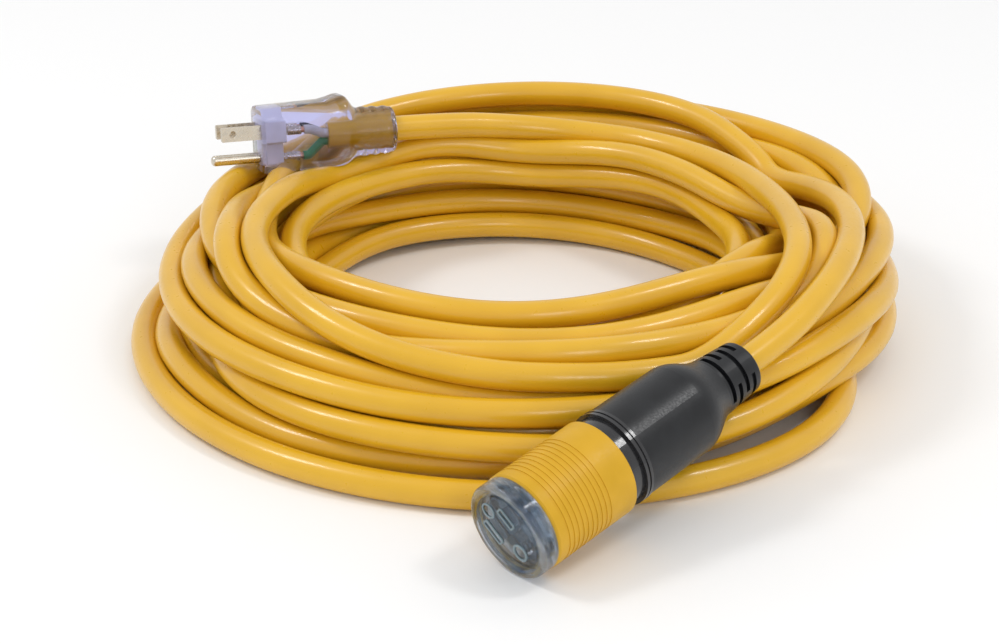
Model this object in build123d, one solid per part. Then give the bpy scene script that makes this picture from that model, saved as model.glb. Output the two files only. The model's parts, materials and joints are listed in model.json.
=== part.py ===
from build123d import *
import os
from math import cos, pi, radians, sin, tan

# A coiled heavy power cord with a clear moulded plug and a locking socket connector.
# Millimetres, +Z up. The coil and the connector's face end stand on the plane Z = 0, and the origin
# is on that plane, at the middle of the box around the plug and the connector.
# Each end is built along its own axis: z runs from its face towards the cord, y towards the ground
# pin or ground opening, and x to the right as the face is looked at.

# Cord
CORD_D = 11.4
CORE_D = 4.0
CORE_SPREAD = 2.35
CONDUCTOR_D = 2.6
CRIMP_D = 4.0

# Coil. Its outer and inner walls run through circles, each given as its height, the shift of its
# centre along x and y, and its radius.
COIL_X = 23.5
COIL_Y = 61.5
COIL_OUTSIDE = [
    (0.0, 0.0, 0.0, 159.0),
    (5.0, 0.5, 1.0, 162.0),
    (28.0, 3.0, 9.0, 154.0),
    (46.0, 6.0, 19.0, 144.5),
    (54.0, 7.0, 23.0, 139.0),
    (58.5, 7.0, 24.0, 131.0),
]
COIL_INSIDE = [
    (0.0, 0.0, 0.0, 96.0),
    (48.0, 0.0, 4.5, 91.3),
    (55.0, 0.0, 5.2, 93.0),
    (58.5, 0.0, 5.5, 98.5),
]
LEAD_GAP = 0.4

# Where the two ends lie, from the coil's centre, with yaw, pitch and roll in degrees
CONNECTOR_FACE = (-4.3, -208.4, 18.1)
CONNECTOR_TURN = (43.2, 12.2, 48.0)
PLUG_FACE = (-116.6, 69.2, 61.3)
PLUG_TURN = (18.0, -1.5, 13.0)

# Routes of the uncoiled stretches, from the coil's centre. Each leaves its strain relief along the
# fitting's axis for its first run, then takes these points.
PLUG_FIRST_RUN = 28.0
PLUG_ROUTE = [
    (-2.0, 105.0, 55.0),
    (28.0, 106.5, 51.5),
    (56.0, 97.0, 51.0),
    (80.0, 76.0, 52.0),
    (97.0, 48.0, 54.0),
    (107.5, 15.0, 56.5),
    (112.5, -20.0, 59.5),
    (112.0, -52.0, 60.0),
    (104.0, -78.0, 55.5),
    (88.0, -99.0, 47.0),
    (69.0, -114.0, 38.0),
]
CONNECTOR_FIRST_RUN = 24.0
CONNECTOR_ROUTE = [
    (117.0, -86.0, 55.5),
    (130.0, -55.0, 58.0),
    (137.0, -22.0, 57.0),
    (137.0, 12.0, 54.0),
    (129.0, 43.0, 49.0),
    (113.0, 70.0, 42.0),
]

# Three-pin fittings
BLADE_SPACING = 12.7
GROUND_OFFSET = 11.9
BLADE_W = 6.35
BLADE_T = 1.52
BLADE_L = 17.5
BLADE_HOLE_D = 3.2
BLADE_HOLE_FROM_TIP = 5.2
GROUND_D = 4.76
GROUND_STEM_D = 3.8
GROUND_RECESS_R = 2.6
GROUND_L = 21.4

# Socket connector
SLOT_ROW_Y = -3.6
GROUND_Y = SLOT_ROW_Y + GROUND_OFFSET
SLOT_T = 2.2
LINE_SLOT_W = 7.2
NEUTRAL_SLOT_W = 8.8
GROUND_OPENING_R = 2.6
FLANGE_R = 18.8
FLANGE_L = 7.0
FACE_GROOVE = (15.0, 16.3, 3.5)
WALL_Z = 9.0
BARREL_R = 15.6
BARREL_BORE_R = 13.2
BARREL_END = 52.0
COLLAR_R = 19.1
COLLAR_START = 7.4
COLLAR_END = 46.5
COLLAR_BORE_R = 15.9
COLLAR_SKIRT_R = 17.75
COLLAR_SHOULDER_Z = 14.0
COLLAR_TRAVEL = 4.0
GRIP_GROOVES = 10
GRIP_FIRST_Z = 11.5
GRIP_PITCH = 2.3
GRIP_W = 1.1
GRIP_DEPTH = 0.25
SPRING_WIRE_D = 1.2
SPRING_R = 16.75
SPRING_TURNS = 8
HOUSING_START = 44.0
HOUSING_STEP = 59.0
HOUSING_END = 88.0
HOUSING_R = 17.3
HOUSING_REAR_R = 15.4
HOUSING_BORE_R = 12.6
RING_START = 52.0
RING_END = 55.2
RING_R = 18.8
BOOT_START = 55.4
BOOT_SHOULDER = 88.0
NECK_START = 104.0
CONNECTOR_L = 122.5
BOOT_R = 18.4
NECK_R = 11.9
NECK_END_R = 10.4
RELIEF_SLOTS = 4
RELIEF_SLOT_W = 2.0
RELIEF_SLOT_DEPTH = 2.4
RELIEF_SLOT_ARC = 120.0

# Contacts and the lock
CARRIER_END = 34.0
CONTACT_START = 10.0
CONTACT_END = 25.0
LEAF_T = 0.7
LEAF_GAP = 1.3
LEAF_W = 5.2
GROUND_CONTACT_START = 16.5
CRIMP_START = 36.0
CRIMP_END = 43.0
JACKET_START = 74.0
PLATE_PIVOT_Y = 3.2
PLATE_PIVOT_Z = 13.0
PLATE_TIP_Y = 17.0
PLATE_T = 1.2
PLATE_W = 7.6
PLATE_HOLE_R = 2.55
PLATE_REST_TILT = 13.3
PIVOT_PIN_R = 0.8
PIVOT_BORE_R = 0.88
KNUCKLE_R = 1.6
TAIL_W = 6.0
COLLAR_NOTCH = (8.75, 11.15, 17.5)
RUNNING_GAP = 0.4

# Plug
PLUG_W = 25.0
PLUG_H = 29.0
PLUG_BLADE_Y = -3.9
PLUG_GROUND_Y = PLUG_BLADE_Y + GROUND_OFFSET
PLUG_L = 62.0
PLUG_RELIEF_START = 44.0
PLUG_RELIEF_R = 10.9
PLUG_RING_R = 11.6
PLUG_RINGS_Z = (46.5, 56.5)
PLUG_RING_L = 3.6
BRIDGE_START = 2.0
BRIDGE_END = 11.0
PLUG_CRIMP_START = 12.0
PLUG_CRIMP_END = 18.0
PLUG_JACKET_START = 31.0


def end_frame(face, turn):
    """The plane of a fitting whose face is at a point of the coil's frame."""
    yaw, pitch, roll = (radians(a) for a in turn)
    axis = Vector(cos(pitch) * cos(yaw), cos(pitch) * sin(yaw), sin(pitch))
    side = Vector(sin(yaw), -cos(yaw), 0)
    down = axis.cross(side)
    ground = down * cos(roll) + side * sin(roll)
    origin = Vector(*face) + Vector(COIL_X, COIL_Y, 0)
    return Plane(origin=origin, x_dir=ground.cross(axis), z_dir=axis)


def rod(radius, start, end, x=0.0, y=0.0):
    """A cylinder along z from start to end."""
    return Pos(x, y, (start + end) / 2) * Cylinder(radius, end - start)


def tube(outer, inner, start, end, x=0.0, y=0.0):
    """A plain sleeve along z."""
    return rod(outer, start, end, x, y) - rod(inner, start - 1, end + 1, x, y)


def block(size_x, size_y, start, end, x=0.0, y=0.0):
    """A box along z from start to end."""
    return Pos(x, y, (start + end) / 2) * Box(size_x, size_y, end - start)


def turned(points):
    """A solid of revolution about z from (radius, z) corners."""
    outline = Polyline(*[(r, 0, z) for r, z in points], close=True)
    return revolve(make_face(outline), Axis.Z, 360)


def corner_radii(points):
    """The largest tangent arc at each corner: 0.45 of the shorter run over tan(half the turn)."""
    radii = []
    for a, b, c in zip(points, points[1:], points[2:]):
        before, after = b - a, c - b
        half_turn = radians(before.get_angle(after) / 2)
        radii.append(0.45 * min(before.length, after.length) / tan(half_turn))
    return radii


def swept(points, diameter, radii):
    """A round solid along straight runs joined by tangent arcs."""
    path = FilletPolyline(*points, radius=radii)
    start = Plane(origin=points[0], z_dir=points[1] - points[0])
    return sweep(start * Circle(diameter / 2), path=path)


def lead_points(fitting, length, first_run, route):
    """The corners of an uncoiled stretch, from the end of a fitting to where it joins the coil."""
    points = [(fitting * Pos(0, 0, z)).position for z in (length, length + first_run)]
    return points + [Vector(x + COIL_X, y + COIL_Y, z) for x, y, z in route]


def make_lead(name, points):
    """One uncoiled stretch of the cord."""
    radii = corner_radii(points)
    solid = swept(points, CORD_D, radii)
    centreline = solid.volume / (pi * CORD_D**2 / 4)
    runs = sum((b - a).length for a, b in zip(points, points[1:]))
    print(name, "length", round(centreline, 1), "runs", round(runs, 1), "radii", [round(r) for r in radii])
    return solid


def lead_space(points):
    """The room a lead needs across the coil, up to the run that goes into it."""
    outside = points[:-1]
    return swept(outside, CORD_D + 2 * LEAD_GAP, corner_radii(outside))


# ---------------------------------------------------------------- socket connector


def slots_through(start, end):
    """The two blade slots and the ground opening, as solids to cut away."""
    half = BLADE_SPACING / 2
    cuts = block(SLOT_T, LINE_SLOT_W, start, end, half, SLOT_ROW_Y)
    cuts += block(SLOT_T, NEUTRAL_SLOT_W, start, end, -half, SLOT_ROW_Y)
    cuts += rod(GROUND_OPENING_R, start, end, 0, GROUND_Y)
    return cuts


def tail_window(width, start, end):
    """The slot in the barrel's wall that the lock plate's tail moves in."""
    depth = BARREL_R + 1 - BARREL_BORE_R + 1
    return block(width, depth, start, end, 0, (BARREL_R + BARREL_BORE_R) / 2)


def make_socket_body():
    body = rod(FLANGE_R, 0, FLANGE_L)
    body = fillet(body.edges().group_by(Axis.Z)[0], 1.6)
    body += rod(BARREL_R, FLANGE_L, BARREL_END)
    body -= rod(BARREL_BORE_R, WALL_Z, BARREL_END + 1)
    groove_inner, groove_outer, groove_depth = FACE_GROOVE
    body -= tube(groove_outer, groove_inner, -1, groove_depth)
    body -= slots_through(-1, WALL_Z + 1)
    body -= tail_window(TAIL_W + 2 * RUNNING_GAP, WALL_Z, 15.6)
    return body


def make_locking_collar():
    outline = [
        (COLLAR_BORE_R, COLLAR_START),
        (COLLAR_R - 0.8, COLLAR_START),
        (COLLAR_R, COLLAR_START + 0.8),
        (COLLAR_R, COLLAR_END - 0.6),
        (COLLAR_R - 0.6, COLLAR_END),
        (COLLAR_SKIRT_R, COLLAR_END),
        (COLLAR_SKIRT_R, COLLAR_SHOULDER_Z),
        (COLLAR_BORE_R, COLLAR_SHOULDER_Z),
    ]
    collar = turned(outline)
    for i in range(GRIP_GROOVES):
        z = GRIP_FIRST_Z + i * GRIP_PITCH
        collar -= tube(COLLAR_R + 1, COLLAR_R - GRIP_DEPTH, z, z + GRIP_W)
    notch_start, notch_end, notch_r = COLLAR_NOTCH
    return collar - rod(notch_r, notch_start, notch_end)


def flat_lock_plate():
    """The lock plate, square to the axis, as wide as its pocket and with a narrower tail."""
    middle_y = (PLATE_PIVOT_Y + BARREL_BORE_R) / 2 - 0.4
    plate = block(PLATE_W, BARREL_BORE_R - 0.8 - PLATE_PIVOT_Y, -PLATE_T / 2, PLATE_T / 2, 0, middle_y)
    tail_y = (PLATE_TIP_Y + BARREL_BORE_R - 2) / 2
    plate += block(TAIL_W, PLATE_TIP_Y - BARREL_BORE_R + 2, -PLATE_T / 2, PLATE_T / 2, 0, tail_y)
    return plate & Cylinder(PLATE_TIP_Y, 2 * PLATE_T)


def make_lock_plate():
    plate = flat_lock_plate()
    knuckle = Pos(0, PLATE_PIVOT_Y, 0) * Rot(0, 90, 0) * Cylinder(KNUCKLE_R, PLATE_W)
    plate += knuckle
    plate -= Pos(0, PLATE_PIVOT_Y, 0) * Rot(0, 90, 0) * Cylinder(PIVOT_BORE_R, PLATE_W + 2)
    plate -= rod(PLATE_HOLE_R, -PLATE_T, PLATE_T, 0, GROUND_Y)
    pivot = Axis((0, PLATE_PIVOT_Y, 0), (1, 0, 0))
    return Pos(0, 0, PLATE_PIVOT_Z) * plate.rotate(pivot, -PLATE_REST_TILT)


def make_lock_pivot():
    return Pos(0, PLATE_PIVOT_Y, PLATE_PIVOT_Z) * Rot(0, 90, 0) * Cylinder(PIVOT_PIN_R, PLATE_W + 2.0)


def make_contact_carrier():
    """The insulating block, with a pocket for each contact and the lock plate's swing."""
    carrier = rod(BARREL_BORE_R - 0.1, WALL_Z, CARRIER_END)
    half = BLADE_SPACING / 2
    for side in (-1, 1):
        carrier -= block(3.6, 9.4, WALL_Z - 1, CONTACT_END + 0.2, side * half, SLOT_ROW_Y)
        carrier -= block(3.0, 4.4, CONTACT_END - 1, CARRIER_END + 1, side * half, SLOT_ROW_Y)
    carrier -= rod(4.0, WALL_Z - 1, CONTACT_END + 0.2, 0, GROUND_Y)
    carrier -= block(3.0, 3.6, CONTACT_END - 1, CARRIER_END + 1, 0, GROUND_Y)
    carrier -= block(PLATE_W + 0.8, BARREL_BORE_R, WALL_Z - 1, 16.2, 0, 1.3 + BARREL_BORE_R / 2)
    carrier -= Pos(0, PLATE_PIVOT_Y, PLATE_PIVOT_Z) * Rot(0, 90, 0) * Cylinder(PIVOT_PIN_R, PLATE_W + 2.0)
    carrier -= rod(2.4, WALL_Z - 1, 16.0, 0, -10.2)
    return carrier


def crimp(x, y, start, end):
    """A crimp barrel, open along the conductor."""
    return tube(CRIMP_D / 2, CONDUCTOR_D / 2, start, end, x, y)


def make_blade_contact(x):
    """Two sprung leaves joined by a web, a flat tail and a crimp barrel."""
    contact = block(LEAF_GAP + 2 * LEAF_T, LEAF_W, CONTACT_START, CONTACT_END, x, SLOT_ROW_Y)
    contact -= block(LEAF_GAP, LEAF_W + 1, CONTACT_START - 1, CONTACT_END - 1.2, x, SLOT_ROW_Y)
    contact += block(1.0, 3.6, CONTACT_END - 0.1, CRIMP_START + 0.1, x, SLOT_ROW_Y)
    return contact + crimp(x, SLOT_ROW_Y, CRIMP_START, CRIMP_END)


def make_ground_contact():
    """A round contact, cut into four sprung fingers, with a tail and a crimp barrel."""
    contact = tube(3.3, GROUND_D / 2, GROUND_CONTACT_START, CONTACT_END - 1.2, 0, GROUND_Y)
    for angle in (45, 135):
        slit = Pos(0, GROUND_Y, GROUND_CONTACT_START + 2.5) * Rot(0, 0, angle) * Box(0.8, 8, 5.4)
        contact -= slit
    contact += rod(3.3, CONTACT_END - 1.2, CONTACT_END, 0, GROUND_Y)
    contact += block(1.0, 3.0, CONTACT_END - 0.1, CRIMP_START + 0.1, 0, GROUND_Y)
    return contact + crimp(0, GROUND_Y, CRIMP_START, CRIMP_END)


def make_collar_spring():
    start = COLLAR_SHOULDER_Z + SPRING_WIRE_D / 2 + 0.1
    height = HOUSING_START - SPRING_WIRE_D / 2 - 0.1 - start
    helix = Helix(pitch=height / SPRING_TURNS, height=height, radius=SPRING_R)
    section = Plane(origin=helix @ 0, z_dir=helix % 0) * Circle(SPRING_WIRE_D / 2)
    return Pos(0, 0, start) * sweep(section, path=helix, is_frenet=True)


def make_rear_housing():
    outline = [
        (BARREL_R + 0.05, HOUSING_START),
        (HOUSING_R, HOUSING_START),
        (HOUSING_R, HOUSING_STEP),
        (HOUSING_REAR_R, HOUSING_STEP),
        (HOUSING_REAR_R, HOUSING_END),
        (HOUSING_BORE_R, HOUSING_END),
        (HOUSING_BORE_R, BARREL_END),
        (BARREL_R + 0.05, BARREL_END),
    ]
    return turned(outline)


def make_retaining_ring():
    ring = tube(RING_R, HOUSING_R + 0.05, RING_START, RING_END)
    middle = (RING_START + RING_END) / 2
    return ring - tube(RING_R + 1, RING_R - 0.45, middle - 0.35, middle + 0.35)


def relief_slot(z, turn):
    """Two slots part way round the strain relief's neck, one on each side."""
    reach = 2 * NECK_R
    across = reach * tan(radians(RELIEF_SLOT_ARC / 2))
    ring = tube(reach, NECK_R - RELIEF_SLOT_DEPTH, z, z + RELIEF_SLOT_W)
    triangle = make_face(Polyline((0, 0), (reach, -across), (reach, across), close=True))
    wedges = [Rot(0, 0, turn + side) * extrude(triangle, CONNECTOR_L) for side in (0, 180)]
    return ring & (wedges[0] + wedges[1])


def make_boot():
    """The rubber boot: a cylinder, a round shoulder and a tapered neck with staggered slots."""
    shoulder = Spline(
        (BOOT_R - 0.2, 0, BOOT_SHOULDER),
        (BOOT_R - 2.6, 0, BOOT_SHOULDER + 7.5),
        (NECK_R, 0, NECK_START),
        tangents=[(-0.05, 0, 1), (-0.25, 0, 1)],
    )
    front = Line((BOOT_R, 0, BOOT_START), (BOOT_R - 0.2, 0, BOOT_SHOULDER))
    neck = Line((NECK_R, 0, NECK_START), (NECK_END_R, 0, CONNECTOR_L))
    inside = Polyline(
        (NECK_END_R, 0, CONNECTOR_L),
        (CORD_D / 2, 0, CONNECTOR_L),
        (CORD_D / 2, 0, 96.0),
        (HOUSING_REAR_R - 3, 0, HOUSING_END + 2),
        (HOUSING_REAR_R, 0, HOUSING_END),
        (HOUSING_REAR_R, 0, HOUSING_STEP),
        (HOUSING_R, 0, HOUSING_STEP),
        (HOUSING_R, 0, BOOT_START),
        (BOOT_R, 0, BOOT_START),
    )
    boot = revolve(make_face([front, shoulder, neck, inside]), Axis.Z, 360)
    boot = fillet(boot.edges().group_by(Axis.Z)[-1].sort_by(SortBy.RADIUS)[-1], 1.2)
    pitch = (CONNECTOR_L - NECK_START - 2.4) / RELIEF_SLOTS
    for i in range(RELIEF_SLOTS):
        boot -= relief_slot(NECK_START + 1.2 + i * pitch, 90 * (i % 2))
    return boot


def make_inner_mould():
    """Filler between the housing's bore and the jacket's end."""
    return tube(HOUSING_BORE_R, CORD_D / 2, JACKET_START + 2, HOUSING_END)


def core_points(x, y, start, end, seat):
    """A core's route from its crimp to its seat in the jacket's end."""
    seat_x, seat_y = seat
    lead_in = (end - start) * 0.22
    return [
        Vector(x, y, start),
        Vector(x, y, start + lead_in),
        Vector(seat_x, seat_y, end - lead_in),
        Vector(seat_x, seat_y, end),
    ]


def core_seats():
    """Where the three cores sit in the jacket: line, neutral and ground."""
    angles = (-30, 210, 90)
    return [(CORE_SPREAD * cos(radians(a)), CORE_SPREAD * sin(radians(a))) for a in angles]


def make_core(x, y, start, end, seat):
    points = core_points(x, y, start, end, seat)
    return swept(points, CORE_D, [r * 0.8 for r in corner_radii(points)])


def make_power_lamp():
    """A small lamp with a domed nose, behind the clear wall."""
    lamp = rod(2.3, WALL_Z, 14.0, 0, -10.2)
    return fillet(lamp.edges().group_by(Axis.Z)[-1], 0.8)


def make_lamp_resistor():
    """The lamp's series resistor, in the space behind the carrier."""
    body = rod(1.2, CARRIER_END, CARRIER_END + 6.5, 0, -9.6)
    return body + rod(0.35, CARRIER_END + 6.5, CARRIER_END + 10.0, 0, -9.6)


# ---------------------------------------------------------------- plug


def plug_section(width, height, corner, z, shift=0.0):
    return Pos(0, shift, z) * RectangleRounded(width, height, corner)


def make_plug_shape():
    """The overmould's outside: a boxy front, a thumb flare and a ringed strain relief."""
    front = loft(
        [
            plug_section(PLUG_W - 1.4, PLUG_H - 1.0, 4.5, 0),
            plug_section(PLUG_W, PLUG_H, 5.0, 2.5),
            plug_section(PLUG_W - 0.4, PLUG_H + 0.8, 5.5, 30.0, -0.4),
        ],
        ruled=True,
    )
    flare = loft(
        [
            plug_section(PLUG_W - 0.4, PLUG_H + 0.8, 5.5, 30.0, -0.4),
            plug_section(PLUG_W + 1.6, PLUG_H + 2.2, 7.5, 38.0, -1.9),
            plug_section(2 * PLUG_RELIEF_R, 2 * PLUG_RELIEF_R, PLUG_RELIEF_R - 0.2, PLUG_RELIEF_START + 1),
        ],
        ruled=True,
    )
    shape = front + flare + rod(PLUG_RELIEF_R, PLUG_RELIEF_START, PLUG_L)
    for z in PLUG_RINGS_Z:
        ring = rod(PLUG_RING_R, z, z + PLUG_RING_L)
        shape += fillet(ring.edges().filter_by(GeomType.CIRCLE), 0.6)
    return shape


def make_blade(x):
    """A folded brass blade with a round hole and a stem that ends in a crimp barrel."""
    blade = block(BLADE_T, BLADE_W, -BLADE_L, BRIDGE_END, x, PLUG_BLADE_Y)
    tip = blade.faces().sort_by(Axis.Z)[0]
    blade = chamfer(tip.edges(), 0.45)
    hole = Pos(x, PLUG_BLADE_Y, -BLADE_L + BLADE_HOLE_FROM_TIP) * Rot(0, 90, 0)
    blade -= hole * Cylinder(BLADE_HOLE_D / 2, 4)
    blade += block(1.0, 3.6, BRIDGE_END - 0.1, PLUG_CRIMP_START + 0.1, x, PLUG_BLADE_Y)
    return blade + crimp(x, PLUG_BLADE_Y, PLUG_CRIMP_START, PLUG_CRIMP_END)


def make_plug_ground_pin():
    """The round ground pin, with a domed tip, a thinner stem and a crimp barrel behind the bridge."""
    pin = rod(GROUND_D / 2, -GROUND_L, 0, 0, PLUG_GROUND_Y)
    pin = fillet(pin.edges().group_by(Axis.Z)[0], GROUND_D / 2 - 0.5)
    pin += rod(GROUND_STEM_D / 2, -1, BRIDGE_END, 0, PLUG_GROUND_Y)
    pin += block(1.0, 3.0, BRIDGE_END - 0.1, PLUG_CRIMP_START + 0.1, 0, PLUG_GROUND_Y)
    return pin + crimp(0, PLUG_GROUND_Y, PLUG_CRIMP_START, PLUG_CRIMP_END)


def make_plug_bridge(inserts):
    """Two white blocks in one moulding: a wide one round the blades and one round the pin."""
    bridge = block(19.0, 10.0, BRIDGE_START, BRIDGE_END, 0, PLUG_BLADE_Y)
    bridge += block(9.0, 14.0, BRIDGE_START + 1, BRIDGE_END - 1, 0, PLUG_GROUND_Y - 4.0)
    bridge = fillet(bridge.edges().filter_by(Axis.Z), 0.8)
    for insert in inserts:
        bridge -= insert
    return bridge


def make_conductors(ends, start, end):
    """The three bare copper ends, each in its crimp barrel."""
    return [rod(CONDUCTOR_D / 2, start, end, x, y) for x, y in ends]


# ---------------------------------------------------------------- cord


def through_circles(sections):
    """A solid with straight walls from circle to circle, about the coil's centre."""
    return loft([Pos(COIL_X + x, COIL_Y + y, z) * Circle(r) for z, x, y, r in sections], ruled=True)


def make_coil(keep_clear):
    """The coil's outer shape: a ring whose turns lean in and back towards the top."""
    ring = through_circles(COIL_OUTSIDE) - through_circles(COIL_INSIDE)
    for solid in keep_clear:
        ring -= solid
    return ring


def connector_space():
    """The room the connector needs beside the coil, 0.4 mm larger all round."""
    gap = 0.4
    return turned(
        [
            (0, -gap),
            (COLLAR_R + gap, -gap),
            (COLLAR_R + gap, BOOT_SHOULDER + 2),
            (BOOT_R - 1.5, BOOT_SHOULDER + 8),
            (NECK_R + gap + 0.6, NECK_START + 1),
            (NECK_END_R + gap, CONNECTOR_L + gap),
            (CORD_D / 2 + gap, CONNECTOR_L + 40),
            (0, CONNECTOR_L + 40),
        ]
    )


def plug_space():
    """The room the plug needs on top of the coil."""
    return block(PLUG_W + 3, PLUG_H + 4, -GROUND_L - 2, PLUG_L + 0.5, 0, -0.8)


def save(name, solids):
    """Write one node as a STEP file."""
    shape = Compound(children=solids) if isinstance(solids, list) else solids
    export_step(shape, f"parts/{name}.step")


def main():
    os.makedirs("parts", exist_ok=True)
    connector = end_frame(CONNECTOR_FACE, CONNECTOR_TURN).location
    plug = end_frame(PLUG_FACE, PLUG_TURN).location
    half = BLADE_SPACING / 2
    seats = core_seats()

    # Connector, along its own axis
    contact_ends = [(half, SLOT_ROW_Y), (-half, SLOT_ROW_Y), (0, GROUND_Y)]
    at_connector = {
        "socket_body": make_socket_body(),
        "locking_collar": make_locking_collar(),
        "lock_plate": make_lock_plate(),
        "lock_pivot": make_lock_pivot(),
        "contact_carrier": make_contact_carrier(),
        "line_contact": make_blade_contact(half),
        "neutral_contact": make_blade_contact(-half),
        "ground_contact": make_ground_contact(),
        "collar_spring": make_collar_spring(),
        "rear_housing": make_rear_housing(),
        "retaining_ring": make_retaining_ring(),
        "boot": make_boot(),
        "inner_mould": make_inner_mould(),
        "power_lamp": make_power_lamp(),
        "lamp_resistor": make_lamp_resistor(),
        "connector_conductors": make_conductors(contact_ends, CRIMP_START + 1, CRIMP_END + 1.5),
        "connector_jacket_end": rod(CORD_D / 2, JACKET_START, CONNECTOR_L),
    }
    for name, (x, y), seat in zip(("line", "neutral", "ground"), contact_ends, seats):
        core = make_core(x, y, CRIMP_END + 1.5, JACKET_START, seat)
        at_connector[f"connector_{name}_core"] = core

    # Plug, along its own axis. Seen from its face, line and neutral swap sides.
    blade_ends = [(-half, PLUG_BLADE_Y), (half, PLUG_BLADE_Y), (0, PLUG_GROUND_Y)]
    line_blade = make_blade(-half)
    neutral_blade = make_blade(half)
    ground_pin = make_plug_ground_pin()
    bridge = make_plug_bridge([line_blade, neutral_blade, ground_pin])
    conductors = make_conductors(blade_ends, PLUG_CRIMP_START + 1, PLUG_CRIMP_END + 1.5)
    jacket = rod(CORD_D / 2, PLUG_JACKET_START, PLUG_L)
    at_plug = {
        "plug_line_blade": line_blade,
        "plug_neutral_blade": neutral_blade,
        "plug_ground_pin": ground_pin,
        "plug_bridge": bridge,
        "plug_conductors": conductors,
        "plug_jacket_end": jacket,
    }
    flipped_seats = [(-seats[0][0], seats[0][1]), (-seats[1][0], seats[1][1]), seats[2]]
    for name, (x, y), seat in zip(("line", "neutral", "ground"), blade_ends, flipped_seats):
        core = make_core(x, y, PLUG_CRIMP_END + 1.5, PLUG_JACKET_START, seat)
        at_plug[f"plug_{name}_core"] = core
    plug_body = make_plug_shape() - rod(GROUND_RECESS_R, -1, 0.5, 0, PLUG_GROUND_Y)
    for inserted in at_plug.values():
        for solid in inserted if isinstance(inserted, list) else [inserted]:
            plug_body -= solid
    at_plug["plug_body"] = plug_body

    for frame, nodes in ((connector, at_connector), (plug, at_plug)):
        for name, solids in nodes.items():
            if isinstance(solids, list):
                save(name, [frame * s for s in solids])
            else:
                save(name, frame * solids)

    # Cord
    plug_points = lead_points(plug, PLUG_L, PLUG_FIRST_RUN, PLUG_ROUTE)
    connector_points = lead_points(connector, CONNECTOR_L, CONNECTOR_FIRST_RUN, CONNECTOR_ROUTE)
    save("plug_lead", make_lead("plug_lead", plug_points))
    save("connector_lead", make_lead("connector_lead", connector_points))
    keep_clear = [lead_space(plug_points), lead_space(connector_points)]
    keep_clear += [connector * connector_space(), plug * plug_space()]
    save("cord_coil", make_coil(keep_clear))


main()
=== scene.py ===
import json
import math

import bmesh
import bpy
import numpy as np
from mathutils import Matrix, Vector


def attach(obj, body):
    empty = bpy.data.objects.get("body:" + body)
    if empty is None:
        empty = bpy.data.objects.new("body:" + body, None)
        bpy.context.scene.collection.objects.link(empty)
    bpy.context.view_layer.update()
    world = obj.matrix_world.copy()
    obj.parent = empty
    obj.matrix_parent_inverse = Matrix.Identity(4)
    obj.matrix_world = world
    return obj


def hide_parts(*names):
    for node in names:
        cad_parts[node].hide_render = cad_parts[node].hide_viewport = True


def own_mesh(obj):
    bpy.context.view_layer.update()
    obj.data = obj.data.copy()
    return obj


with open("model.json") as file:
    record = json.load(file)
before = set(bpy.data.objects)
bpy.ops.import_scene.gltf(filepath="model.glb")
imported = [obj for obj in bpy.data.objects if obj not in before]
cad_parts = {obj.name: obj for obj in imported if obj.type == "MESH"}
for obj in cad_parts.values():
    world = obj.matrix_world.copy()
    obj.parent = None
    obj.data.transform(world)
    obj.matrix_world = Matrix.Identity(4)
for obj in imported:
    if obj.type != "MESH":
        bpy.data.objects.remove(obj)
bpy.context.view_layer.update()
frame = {"nodes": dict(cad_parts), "record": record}
MM = 0.001

# ---------------------------------------------------------------- where things lie

# Cord and coil, in millimetres; places are from the coil's centre
CORD_D = 11.4
COIL_CENTRE = Vector((23.5, 61.5, 0.0))

# Limits of a strand's centre in the coil: radii at the floor, and how far the walls lean in towards
# the top at the front, left, back and right
INNER_R = 101.7
OUTER_R = 160.0
TOP_Z = 56.0
INNER_LEAN = (12.5, 9.0, 0.0, 17.0)
OUTER_LEAN = (54.0, 34.0, 3.0, 7.0)
LEAN_POWER = 1.6
UNDER_PLUG_Z = 38.7

# The two fittings, as in the part's source: face, then yaw, pitch and roll in degrees
CONNECTOR_FACE = (-4.3, -208.4, 18.1)
CONNECTOR_TURN = (43.2, 12.2, 48.0)
CONNECTOR_L = 122.5
PLUG_FACE = (-116.6, 69.2, 61.3)
PLUG_TURN = (18.0, -1.5, 13.0)
PLUG_L = 62.0

# The connector's outside, as distances along its axis and radii
CONNECTOR_OUTLINE = [
    (0, 18.9), (46, 19.1), (55, 18.8), (88, 18.4), (97, 16.0), (104, 12.2), (122, 10.7), (125, 6.0),
]

# The cord's uncoiled stretches: a first run along each fitting's axis, then these points
PLUG_FIRST_RUN = 28.0
PLUG_ROUTE = [
    (-2.0, 105.0, 55.0),
    (28.0, 106.5, 51.5),
    (56.0, 97.0, 51.0),
    (80.0, 76.0, 52.0),
    (97.0, 48.0, 54.0),
    (107.5, 15.0, 56.5),
    (112.5, -20.0, 59.5),
    (112.0, -52.0, 60.0),
    (104.0, -78.0, 55.5),
    (88.0, -99.0, 47.0),
    (69.0, -114.0, 38.0),
]
CONNECTOR_FIRST_RUN = 24.0
CONNECTOR_ROUTE = [
    (117.0, -86.0, 55.5),
    (130.0, -55.0, 58.0),
    (137.0, -22.0, 57.0),
    (137.0, 12.0, 54.0),
    (129.0, 43.0, 49.0),
    (113.0, 70.0, 42.0),
]

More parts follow.
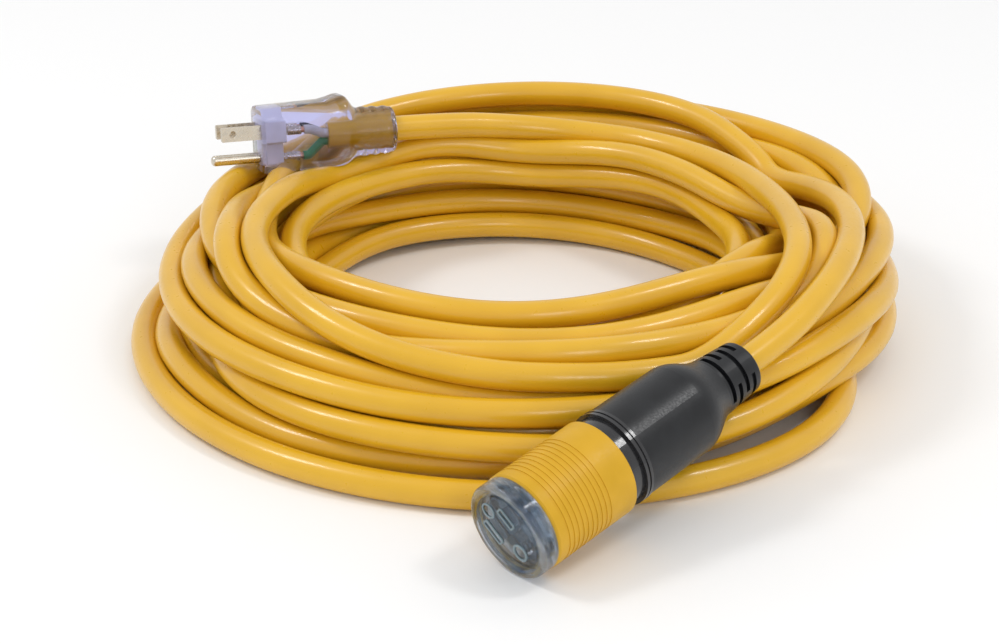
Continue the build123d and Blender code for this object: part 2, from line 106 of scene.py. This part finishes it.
# The plug's moulding along its axis: height, width, depth, corner and shift away from the pin
PLUG_SECTIONS = [
    (0.0, 22.6, 27.0, 4.0, 0.0),
    (0.35, 24.0, 28.4, 4.6, 0.0),
    (1.2, 24.7, 28.9, 4.9, 0.0),
    (2.5, 25.0, 29.0, 5.0, 0.0),
    (16.0, 24.8, 29.4, 5.2, -0.2),
    (29.0, 24.6, 29.8, 5.5, -0.4),
    (33.0, 25.0, 30.6, 6.2, -0.9),
    (36.0, 25.9, 31.2, 7.2, -1.6),
    (38.2, 26.5, 31.0, 7.8, -2.0),
    (39.6, 26.0, 29.6, 8.4, -1.9),
    (41.5, 24.4, 26.4, 9.4, -1.2),
    (43.4, 22.7, 23.2, 10.6, -0.4),
    (45.0, 21.9, 21.9, 10.9, 0.0),
]
PLUG_BULGES = (48.3, 53.2, 58.1)

# The collar's spring, which stands on the rear housing, and how its turns close up towards its ends
SPRING_TURNS = 8
SPRING_R = 16.75
SPRING_WIRE_R = 0.6
SPRING_START = 14.7
SPRING_END = 43.3
SPRING_STEPS_A_TURN = 28
SPRING_CLOSING = 0.09

# How the coil is wound. At the front each rank in height, from the floor up, has a place across
# the coil from 0 inside to 1 outside.
FRONT_PLACES = (
    1.0, 1.0, 0.3, 0.8, 0.0, 0.5, 1.0, 0.2, 0.75, 0.0, 0.5, 1.0, 0.25, 0.75, 0.0, 0.5, 1.0, 0.0, 0.6, 0.4,
)
TURN_POINTS = 48
WHOLE_TURNS = 18
FIRST_ANGLE = -67.5
LAST_ANGLE = 37.5
FIRST_TURN_R = 131.0
WANDER = 1.2
WANDER_WAVES = (0.37, 0.81, 1.63, 2.3)
STRAND_GAP = 1.03
STIFFNESS = 0.6
RELAX_ROUNDS = 1500
COIL_SEED = 3


def fitting_axes(face, turn):
    """Face, x, ground direction and axis of a fitting, from the coil's centre, in millimetres."""
    yaw, pitch, roll = (math.radians(a) for a in turn)
    axis = Vector((math.cos(pitch) * math.cos(yaw), math.cos(pitch) * math.sin(yaw), math.sin(pitch)))
    side = Vector((math.sin(yaw), -math.cos(yaw), 0))
    ground = axis.cross(side) * math.cos(roll) + side * math.sin(roll)
    return Vector(face), ground.cross(axis), ground, axis


def fitting_matrix(axes):
    """Takes a fitting's own millimetres to metres in the row frame."""
    face, x, ground, axis = axes
    turn = Matrix((x, ground, axis)).transposed().to_4x4()
    return Matrix.Scale(MM, 4) @ Matrix.Translation(face + COIL_CENTRE) @ turn


CONNECTOR = fitting_axes(CONNECTOR_FACE, CONNECTOR_TURN)
PLUG = fitting_axes(PLUG_FACE, PLUG_TURN)


def on_axis(axes, along):
    return axes[0] + axes[3] * along


# ---------------------------------------------------------------- the coil's turns


def ease(t):
    t = np.clip(t, 0, 1)
    return t * t * (3 - 2 * t)


def lead_in_slices(points, theta):
    """Radius and height of an uncoiled stretch at the coil's own angles."""
    p = np.array(points, float)
    angle = np.unwrap(np.arctan2(p[:, 1], p[:, 0]))
    angle += 2 * math.pi * round((theta.mean() - angle.mean()) / (2 * math.pi))
    order = np.argsort(angle)
    radius = np.hypot(p[:, 0], p[:, 1])
    return np.interp(theta, angle[order], radius[order]), np.interp(theta, angle[order], p[order, 2])


def by_side(theta, values):
    """A value that changes smoothly round the coil from the front, left, back and right ones."""
    front, left, back, right = values
    across, along = np.cos(theta), np.sin(theta)
    sideways = np.where(across < 0, left, right) * across**2
    return sideways + np.where(along < 0, front, back) * along**2


def innermost(theta, z):
    return INNER_R - by_side(theta, INNER_LEAN) * np.clip(z / TOP_Z, 0, 1)


def outermost(theta, z):
    return OUTER_R - by_side(theta, OUTER_LEAN) * np.clip(z / TOP_Z, 0, 1)**LEAN_POWER


def highest(theta, r):
    """Highest place of a strand's centre in the coil's section: the top, or the outer slope."""
    on_slope = np.clip((OUTER_R - r) / by_side(theta, OUTER_LEAN), 0, 1)**(1 / LEAN_POWER)
    return TOP_Z * on_slope


def height_at(theta, share):
    """The height below which a share of the section's area lies."""
    inner, outer = by_side(theta, INNER_LEAN), by_side(theta, OUTER_LEAN)
    full = OUTER_R - INNER_R + CORD_D
    area = full - outer / (LEAN_POWER + 1) + inner / 2
    t = share.copy()
    for _ in range(12):
        below = full * t - outer * t**(LEAN_POWER + 1) / (LEAN_POWER + 1) + inner * t**2 / 2
        t = np.clip(t - (below - share * area) / (full - outer * t**LEAN_POWER + inner * t), 0, 1)
    return CORD_D / 2 + t * (TOP_Z - CORD_D / 2)


def push_off_connector(theta, r, z):
    """How far each point has to move, outward and up, to clear the connector."""
    along_axis, radii = np.array(CONNECTOR_OUTLINE).T
    face, axis = np.array(CONNECTOR[0]), np.array(CONNECTOR[3])
    p = np.stack([r * np.cos(theta), r * np.sin(theta), z], 1) - face
    along = p @ axis
    off = p - along[:, None] * axis
    far = np.linalg.norm(off, axis=1)
    short = np.clip(np.interp(along, along_axis, radii) + CORD_D / 2 + 1 - far, 0, None)
    short[(along < 0) | (along > along_axis[-1])] = 0
    push = off / far[:, None] * short[:, None]
    return push[:, 0] * np.cos(theta) + push[:, 1] * np.sin(theta), push[:, 2]


def under_plug(theta, r):
    """Which points lie below the plug."""
    face, axis = PLUG[0], PLUG[3]
    x, y = r * np.cos(theta) - face.x, r * np.sin(theta) - face.y
    along = x * axis.x + y * axis.y
    across = y * axis.x - x * axis.y
    return (along > -4) & (along < PLUG_L + 2) & (np.abs(across) < 19)


def stiffen(values):
    """Moves each point's value towards the smooth curve through its four neighbours."""
    smooth = (4 * (values[1:-3] + values[3:-1]) - values[:-4] - values[4:]) / 6
    values[2:-2] += STIFFNESS * (smooth - values[2:-2])


def wind_coil(plug_lead, connector_lead):
    """The turns' centreline from one lead to the other: one round of points a slice, pushed apart.

    Every turn has a place across the coil and a rank in height. The turns start as a tall loose
    stack, which is pressed down into the coil's section while strands push each other apart.
    """
    rng = np.random.default_rng(COIL_SEED)
    step = 2 * math.pi / TURN_POINTS
    count = round(math.radians(WHOLE_TURNS * 360 - (LAST_ANGLE - FIRST_ANGLE)) / step) + 1
    before, after = 22, 10
    index = np.arange(-before, count + after)
    theta = math.radians(FIRST_ANGLE) - index * step
    held = (index < 0) | (index >= count)
    held_r, held_z = np.zeros(len(index)), np.zeros(len(index))
    held_r[:before], held_z[:before] = lead_in_slices(plug_lead, theta[:before])
    held_r[-after:], held_z[-after:] = lead_in_slices(connector_lead, theta[-after:])

    # Ranks go down by two a turn and then up by two, changing at the back
    window = 0.12
    turn = index / TURN_POINTS
    passing = turn - (270 + FIRST_ANGLE) / 360
    back = np.round(passing)
    done = np.clip(back + ease((passing - back + window) / (2 * window)), 0, WHOLE_TURNS)
    half = WHOLE_TURNS / 2
    rank = np.where(done <= half, WHOLE_TURNS - 2 * done, 2 * (done - half) + ease(done - half))

    # Places across the coil, from 0 inside to 1 outside
    stretch = np.arange(WHOLE_TURNS + 2)
    stretch_rank = np.where(stretch <= half, WHOLE_TURNS - 2 * stretch, 2 * (stretch - half) + 1).astype(int)
    front_place = np.array(FRONT_PLACES)[np.minimum(stretch_rank, len(FRONT_PLACES) - 1)]
    front_place = np.clip(front_place + rng.normal(0, 0.04, len(stretch)), 0, 1)
    scatter = 0.45 * rng.random(len(stretch))
    back_place = np.where(stretch < half, scatter, 1 - scatter * np.where(stretch_rank > 11, 0.3, 0.7))
    at_back = np.clip(back, 0, WHOLE_TURNS).astype(int)
    at_front = np.clip(back + (passing > back), 0, WHOLE_TURNS).astype(int)
    mix = ease((np.abs(passing - back) - window) / (0.42 - window))
    place = back_place[at_back] * (1 - mix) + front_place[at_front] * mix
    goal_z = height_at(theta, rank / (WHOLE_TURNS + 1))
    low, high = innermost(theta, goal_z), outermost(theta, goal_z)
    goal_r = low + (high - low) * place
    for waves in WANDER_WAVES:
        goal_r += WANDER * np.sin(2 * math.pi * (waves * turn + rng.random()))
    goal_r = np.clip(goal_r, low, high)

    # The first turn carries on round the outer slope from where the plug's stretch reaches it
    arriving = 1 - ease(turn / 0.45)
    goal_r += (FIRST_TURN_R - goal_r) * arriving
    goal_z = np.where(arriving > 0, np.minimum(goal_z, highest(theta, goal_r)), goal_z)

    stacked = CORD_D / 2 + 1.15 * CORD_D * rank
    r, z = goal_r.copy(), stacked.copy()
    slices = np.arange(1, WHOLE_TURNS + 1) * TURN_POINTS
    for i in range(RELAX_ROUNDS):
        press = ease(i / (0.6 * RELAX_ROUNDS))
        lifted = held_z + (stacked + 30) * (1 - press)
        z += 0.08 * (stacked + (goal_z - stacked) * press - z)
        r += 0.04 * (goal_r - r)
        r[held], z[held] = held_r[held], lifted[held]
        for values in (r, z, r, z, r, z):
            stiffen(values)
        for _ in range(3):
            move = np.zeros((2, len(index)))
            for s in slices:
                apart = np.stack([r[s:] - r[:-s], z[s:] - z[:-s]])
                far = np.hypot(*apart) + 1e-9
                push = apart * (0.25 * np.clip(STRAND_GAP * CORD_D / far - 1, 0, None))
                move[:, s:] += push
                move[:, :-s] -= push
                halfway = (apart[:, 1:] + apart[:, :-1]) / 2
                slide = np.hypot(*(apart[:, 1:] - apart[:, :-1])) / (step * 130)
                above = np.sign(stacked[s + 1:] - stacked[:-s - 1] + 1e-6)
                close = np.hypot(*halfway) < 0.4 * CORD_D
                halfway[1] += np.where(close, 0.3 * CORD_D * above, 0)
                need = STRAND_GAP * CORD_D * np.sqrt(1 + np.minimum(slide, 1)**2)
                push = halfway * (0.12 * np.clip(need / (np.hypot(*halfway) + 1e-9) - 1, 0, None))
                move[:, s + 1:] += push
                move[:, s:-1] += push
                move[:, 1:-s] -= push
                move[:, :-s - 1] -= push
            r += move[0]
            z += move[1]
            if press > 0.5:
                out, up = push_off_connector(theta, r, z)
                r += out
                z += up
            z = np.maximum(z, CORD_D / 2)
            r = np.clip(r, innermost(theta, z), outermost(theta, np.minimum(z, goal_z)))
            r[held], z[held] = held_r[held], lifted[held]
        top = highest(theta, r)
        top = np.where(under_plug(theta, r), np.minimum(top, UNDER_PLUG_Z), top)
        z = np.where(~held & (z > top), z + 0.3 * press * (top - z), z)
        z = np.maximum(z, CORD_D / 2)
    for values in (r, z, r, z):
        stiffen(values)
    z = np.maximum(z, CORD_D / 2)
    own = ~held
    return [Vector(p) for p in np.stack([r * np.cos(theta), r * np.sin(theta), z], 1)[own]]


# ---------------------------------------------------------------- materials


def new_material(name, color, roughness, **sockets):
    """A material with a Principled shader. Returns (material, shader, node maker, linker)."""
    material = bpy.data.materials.new(name)
    material.use_nodes = True
    tree = material.node_tree
    shader = tree.nodes["Principled BSDF"]
    shader.inputs["Base Color"].default_value = (*color, 1)
    shader.inputs["Roughness"].default_value = roughness
    for socket, value in sockets.items():
        shader.inputs[socket.replace("_", " ")].default_value = value
    return material, shader, tree.nodes.new, tree.links.new


def add_grain(tools, scale, bump, distance=0.0002, stretch=(1, 1, 1), rough=None, colors=None, detail=4.0):
    """Surface noise: a bump, and where given a range of roughness and a range of colour."""
    material, shader, node, link = tools
    where = node("ShaderNodeTexCoord")
    turn = node("ShaderNodeMapping")
    turn.inputs["Scale"].default_value = stretch
    noise = node("ShaderNodeTexNoise")
    noise.inputs["Scale"].default_value = scale
    noise.inputs["Detail"].default_value = detail
    link(where.outputs["Object"], turn.inputs["Vector"])
    link(turn.outputs["Vector"], noise.inputs["Vector"])
    relief = node("ShaderNodeBump")
    relief.inputs["Strength"].default_value = bump
    relief.inputs["Distance"].default_value = distance
    link(noise.outputs["Fac"], relief.inputs["Height"])
    link(relief.outputs["Normal"], shader.inputs["Normal"])
    if rough:
        spread = node("ShaderNodeMapRange")
        spread.inputs["From Min"].default_value = 0.3
        spread.inputs["From Max"].default_value = 0.7
        spread.inputs["To Min"].default_value = rough[0]
        spread.inputs["To Max"].default_value = rough[1]
        link(noise.outputs["Fac"], spread.inputs["Value"])
        link(spread.outputs["Result"], shader.inputs["Roughness"])
    if colors:
        broad = node("ShaderNodeTexNoise")
        broad.inputs["Scale"].default_value = scale / 12
        broad.inputs["Detail"].default_value = 2.0
        link(turn.outputs["Vector"], broad.inputs["Vector"])
        ramp = node("ShaderNodeValToRGB")
        ramp.color_ramp.elements[0].position = 0.35
        ramp.color_ramp.elements[1].position = 0.65
        for element, color in zip(ramp.color_ramp.elements, colors):
            element.color = (*color, 1)
        link(broad.outputs["Fac"], ramp.inputs["Fac"])
        link(ramp.outputs["Color"], shader.inputs["Base Color"])
    return material


def jacket_material():
    tools = new_material("jacket_yellow", (0.71, 0.40, 0.012), 0.3, Coat_Weight=0.3, Coat_Roughness=0.09)
    colors = ((0.69, 0.385, 0.01), (0.74, 0.42, 0.014))
    return add_grain(tools, 420, 0.10, 0.0001, rough=(0.27, 0.38), colors=colors)


def collar_material():
    tools = new_material("collar_yellow", (0.62, 0.345, 0.014), 0.42, Specular_IOR_Level=0.3)
    colors = ((0.60, 0.335, 0.012), (0.65, 0.365, 0.018))
    return add_grain(tools, 900, 0.12, 0.0001, rough=(0.36, 0.5), colors=colors)


def boot_material():
    tools = new_material("boot_rubber", (0.007, 0.008, 0.010), 0.32, Specular_IOR_Level=0.42)
    colors = ((0.006, 0.0065, 0.008), (0.010, 0.011, 0.013))
    return add_grain(tools, 1300, 0.2, 0.0001, rough=(0.28, 0.42), colors=colors)


def housing_material():
    tools = new_material("housing_black", (0.012, 0.012, 0.014), 0.2, Coat_Weight=0.4, Coat_Roughness=0.08)
    colors = ((0.010, 0.010, 0.012), (0.018, 0.018, 0.02))
    return add_grain(tools, 1500, 0.08, 0.0001, rough=(0.16, 0.28), colors=colors)


def clear_material(name, color, alpha):
    tools = new_material(name, color, 0.06, Transmission_Weight=1.0, IOR=1.46, Alpha=alpha)
    return add_grain(tools, 160, 0.10, 0.0003, rough=(0.04, 0.10), detail=2.0)


def nickel_material():
    tools = new_material("blade_nickel", (0.66, 0.60, 0.50), 0.26, Metallic=1.0)
    colors = ((0.62, 0.56, 0.46), (0.72, 0.67, 0.58))
    return add_grain(tools, 600, 0.15, 0.0001, rough=(0.2, 0.36), colors=colors)


def brass_material():
    tools = new_material("contact_brass", (0.75, 0.58, 0.34), 0.3, Metallic=1.0)
    colors = ((0.70, 0.52, 0.30), (0.80, 0.64, 0.42))
    return add_grain(tools, 900, 0.15, 0.0001, rough=(0.22, 0.4), colors=colors)


def steel_material():
    tools = new_material("spring_steel", (0.55, 0.55, 0.56), 0.3, Metallic=1.0)
    colors = ((0.48, 0.48, 0.49), (0.6, 0.6, 0.61))
    return add_grain(tools, 1200, 0.2, 0.0001, rough=(0.24, 0.42), colors=colors)


def copper_material():
    tools = new_material("copper", (0.86, 0.44, 0.28), 0.3, Metallic=1.0)
    return add_grain(tools, 1500, 0.5, 0.0003, stretch=(1, 1, 0.2), rough=(0.25, 0.45))


def moulded_material(name, color, roughness=0.4):
    tools = new_material(name, color, roughness)
    darker = tuple(c * 0.88 for c in color)
    rough = (roughness - 0.06, roughness + 0.1)
    return add_grain(tools, 1100, 0.12, 0.0001, rough=rough, colors=(darker, color))


MATERIALS = {
    "cord_jacket": jacket_material(),
    "collar_yellow": collar_material(),
    "boot_rubber": boot_material(),
    "housing_black": housing_material(),
    "clear_socket": clear_material("clear_socket", (0.42, 0.53, 0.68), 0.7),
    "socket_lip": moulded_material("socket_lip", (0.19, 0.25, 0.27), 0.14),
    "clear_plug": clear_material("clear_plug", (0.50, 0.50, 0.86), 0.85),
    "insulator_grey": moulded_material("insulator_grey", (0.26, 0.34, 0.38)),
    "bridge_white": moulded_material("bridge_white", (0.93, 0.94, 1.0)),
    "blade_nickel": nickel_material(),
    "contact_brass": brass_material(),
    "spring_steel": steel_material(),
    "copper": copper_material(),
    "core_black": moulded_material("core_black", (0.03, 0.03, 0.035), 0.35),
    "core_white": moulded_material("core_white", (0.80, 0.80, 0.78), 0.35),
    "core_green": moulded_material("core_green", (0.04, 0.30, 0.09), 0.35),
    "lamp_lens": clear_material("lamp_lens", (0.98, 0.9, 0.75), 0.8),
    "resistor_tan": moulded_material("resistor_tan", (0.62, 0.45, 0.26)),
}


def paint(obj, slot):
    obj.data.materials.clear()
    obj.data.materials.append(MATERIALS[slot])
    return obj


# ---------------------------------------------------------------- mesh tools


def add_mesh(name, bm, matrix, material, body):
    """A finished piece from a bmesh in a fitting's own millimetres."""
    bmesh.ops.recalc_face_normals(bm, faces=bm.faces)
    mesh = bpy.data.meshes.new(name)
    bm.to_mesh(mesh)
    bm.free()
    mesh.transform(matrix)
    for polygon in mesh.polygons:
        polygon.use_smooth = True
    obj = bpy.data.objects.new(name, mesh)
    bpy.context.scene.collection.objects.link(obj)
    paint(obj, material)
    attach(obj, body)
    return obj


def ring_of(bm, points):
    return [bm.verts.new(p) for p in points]


def join_rings(bm, rings, cap_first=True, cap_last=True):
    for a, b in zip(rings, rings[1:]):
        for i in range(len(a)):
            j = (i + 1) % len(a)
            bm.faces.new((a[i], a[j], b[j], b[i]))
    if cap_first:
        bm.faces.new(rings[0])
    if cap_last:
        bm.faces.new(rings[-1])


def rounded_outline(width, height, corner, z, shift=0.0, x=0.0, per_corner=12):
    """Points round a rectangle with round corners, the same count for every size."""
    points = []
    for quarter, (sx, sy) in enumerate(((1, 1), (-1, 1), (-1, -1), (1, -1))):
        for i in range(per_corner):
            a = math.radians(90 * quarter + 90 * i / (per_corner - 1))
            across = (width / 2 - corner) * sx + corner * math.cos(a)
            along = (height / 2 - corner) * sy + corner * math.sin(a)
            points.append((x + across, shift + along, z))
    return points


# ---------------------------------------------------------------- plug and socket details


def make_plug_overmould():
    """The clear moulding: a boxy front, a thumb flare and a strain relief with three soft bulges."""
    bm = bmesh.new()
    rings = [ring_of(bm, rounded_outline(w, h, c, z, shift)) for z, w, h, c, shift in PLUG_SECTIONS]
    for i in range(33):
        z = 46.0 + i * 0.48
        bulge = sum(max(0.0, 1 - ((z - centre) / 2.5)**2)**2 for centre in PLUG_BULGES)
        r = 10.8 - 0.7 * (z - 45) / 17 + 0.55 * bulge
        rings.append(ring_of(bm, rounded_outline(2 * r, 2 * r, r - 0.05, z)))
    for z, r in ((61.8, 9.8), (62.0, 9.2), (62.0, CORD_D / 2 + 0.05), (60.0, CORD_D / 2 + 0.05)):
        rings.append(ring_of(bm, rounded_outline(2 * r, 2 * r, r - 0.05, z)))
    join_rings(bm, rings)
    overmould = add_mesh("plug_overmould", bm, fitting_matrix(PLUG), "clear_plug", "cord_set")
    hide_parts("plug_body")


def make_lip(name, width, height, corner, x, y, border, stand):
    """A raised lip round an opening in the connector's face."""
    bm = bmesh.new()
    outside = [(border, 0.3), (border, 0.1 - stand), (border - 0.15, -stand)]
    inside = [(0.15, -stand), (0.0, 0.1 - stand), (0.0, 0.3)]
    rings = []
    for out, z in outside + inside:
        points = rounded_outline(width + 2 * out, height + 2 * out, corner + out, z, y, x)
        rings.append(ring_of(bm, points))
    join_rings(bm, rings + rings[:1], cap_first=False, cap_last=False)
    add_mesh(name, bm, fitting_matrix(CONNECTOR), "socket_lip", "cord_set")


def make_socket_lips():
    make_lip("line_slot_lip", 2.2, 7.2, 0.3, 6.35, -3.6, 0.75, 0.5)
    make_lip("neutral_slot_lip", 2.2, 8.8, 0.3, -6.35, -3.6, 0.75, 0.5)
    make_lip("ground_opening_lip", 5.2, 5.2, 2.55, 0.0, 8.3, 0.9, 0.6)
    make_lip("lamp_window_lip", 4.8, 4.8, 2.35, 0.0, -10.2, 0.7, 0.45)


def make_spring():
    """The collar's spring: a wire helix whose turns lie closer at its ends."""
    bm = bmesh.new()
    rings = []
    steps = SPRING_TURNS * SPRING_STEPS_A_TURN
    up = Vector((0, 0, 1))
    wire = [(math.cos(a), math.sin(a)) for a in (2 * math.pi * k / 10 for k in range(10))]
    for i in range(steps + 1):
        share = i / steps
        angle = 2 * math.pi * SPRING_TURNS * share
        closer_ends = SPRING_CLOSING * math.sin(2 * math.pi * share)
        z = SPRING_START + (SPRING_END - SPRING_START) * (share - closer_ends)
        out = Vector((math.cos(angle), math.sin(angle), 0))
        centre = out * SPRING_R + up * z
        rings.append(ring_of(bm, [centre + (out * c + up * d) * SPRING_WIRE_R for c, d in wire]))
    join_rings(bm, rings)
    matrix = fitting_matrix(CONNECTOR)
    spring = add_mesh("spring_coil", bm, matrix, "spring_steel", "cord_set")
    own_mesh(spring)
    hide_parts("collar_spring")


# ---------------------------------------------------------------- camera, light and floor


def make_camera():
    """At the photograph's viewing angle, from the front and 23 degrees above the floor."""
    target = (COIL_CENTRE + Vector((0, 0, 30))) * MM
    elevation = math.radians(23.2)
    distance = 1.0404
    place = target + Vector((0, -math.cos(elevation), math.sin(elevation))) * distance
    forward = (target - place).normalized()
    right = forward.cross(Vector((0, 0, 1))).normalized()
    above = right.cross(forward)
    aim = forward - right * math.tan(math.radians(0.463)) - above * math.tan(math.radians(1.292))
    data = bpy.data.cameras.new("camera")
    data.lens = 88.5
    data.sensor_width = 36
    data.clip_start = 0.05
    camera = bpy.data.objects.new("camera", data)
    camera.location = place
    camera.rotation_euler = aim.to_track_quat("-Z", "Y").to_euler()
    bpy.context.scene.collection.objects.link(camera)
    bpy.context.scene.camera = camera


def add_light(name, direction, distance, size, watts):
    data = bpy.data.lights.new(name, "AREA")
    data.shape = "RECTANGLE"
    data.size, data.size_y = size
    data.energy = watts
    light = bpy.data.objects.new(name, data)
    towards = Vector(direction).normalized()
    light.location = COIL_CENTRE * MM + towards * distance
    light.rotation_euler = (-towards).to_track_quat("-Z", "Y").to_euler()
    bpy.context.scene.collection.objects.link(light)


def make_studio():
    world = bpy.data.worlds.new("studio")
    world.use_nodes = True
    world.node_tree.nodes["Background"].inputs["Color"].default_value = (1, 1, 1, 1)
    world.node_tree.nodes["Background"].inputs["Strength"].default_value = 0.82
    bpy.context.scene.world = world
    add_light("key_left", (-0.62, -0.02, 0.78), 1.7, (0.30, 0.42), 6.0)
    add_light("key_right", (0.53, -0.14, 0.84), 1.7, (0.26, 0.36), 4.5)
    add_light("front_fill", (0.25, -0.85, 0.45), 1.9, (0.5, 0.5), 3.5)
    bm = bmesh.new()
    bmesh.ops.create_grid(bm, x_segments=1, y_segments=1, size=6)
    mesh = bpy.data.meshes.new("floor")
    bm.to_mesh(mesh)
    bm.free()
    floor = bpy.data.objects.new("floor", mesh)
    floor.location = (0, 0, -0.0002)
    bpy.context.scene.collection.objects.link(floor)
    tools = new_material("floor_paper", (0.9, 0.9, 0.9), 0.7)
    floor.data.materials.append(add_grain(tools, 300, 0.05, 0.0001, rough=(0.6, 0.8)))
    settings = bpy.context.scene.view_settings
    settings.view_transform = "Standard"


# ---------------------------------------------------------------- cord


def make_cord():
    plug_lead = [on_axis(PLUG, PLUG_L), on_axis(PLUG, PLUG_L + PLUG_FIRST_RUN)]
    plug_lead += [Vector(p) for p in PLUG_ROUTE]
    connector_lead = [on_axis(CONNECTOR, CONNECTOR_L), on_axis(CONNECTOR, CONNECTOR_L + CONNECTOR_FIRST_RUN)]
    connector_lead += [Vector(p) for p in CONNECTOR_ROUTE]
    route = plug_lead + wind_coil(plug_lead, connector_lead) + connector_lead[::-1]
    curve = bpy.data.curves.new("cord", "CURVE")
    curve.dimensions = "3D"
    curve.bevel_depth = CORD_D / 2 * MM
    curve.bevel_resolution = 7
    curve.resolution_u = 6
    curve.use_fill_caps = True
    spline = curve.splines.new("NURBS")
    spline.points.add(len(route) - 1)
    for point, place in zip(spline.points, route):
        point.co = (*((place + COIL_CENTRE) * MM), 1)
    spline.order_u = 3
    spline.use_endpoint_u = True
    cord = bpy.data.objects.new("cord", curve)
    bpy.context.scene.collection.objects.link(cord)
    paint(cord, "cord_jacket")
    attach(cord, "cord_set")
    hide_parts("cord_coil", "plug_lead", "connector_lead")


# ---------------------------------------------------------------- CAD nodes that stay


def paint_cad_nodes():
    for part in frame["record"]["subparts"]:
        paint(frame["nodes"][part["node"]], part["material_slot"])


make_camera()
make_studio()
paint_cad_nodes()
make_plug_overmould()
make_socket_lips()
make_spring()
make_cord()
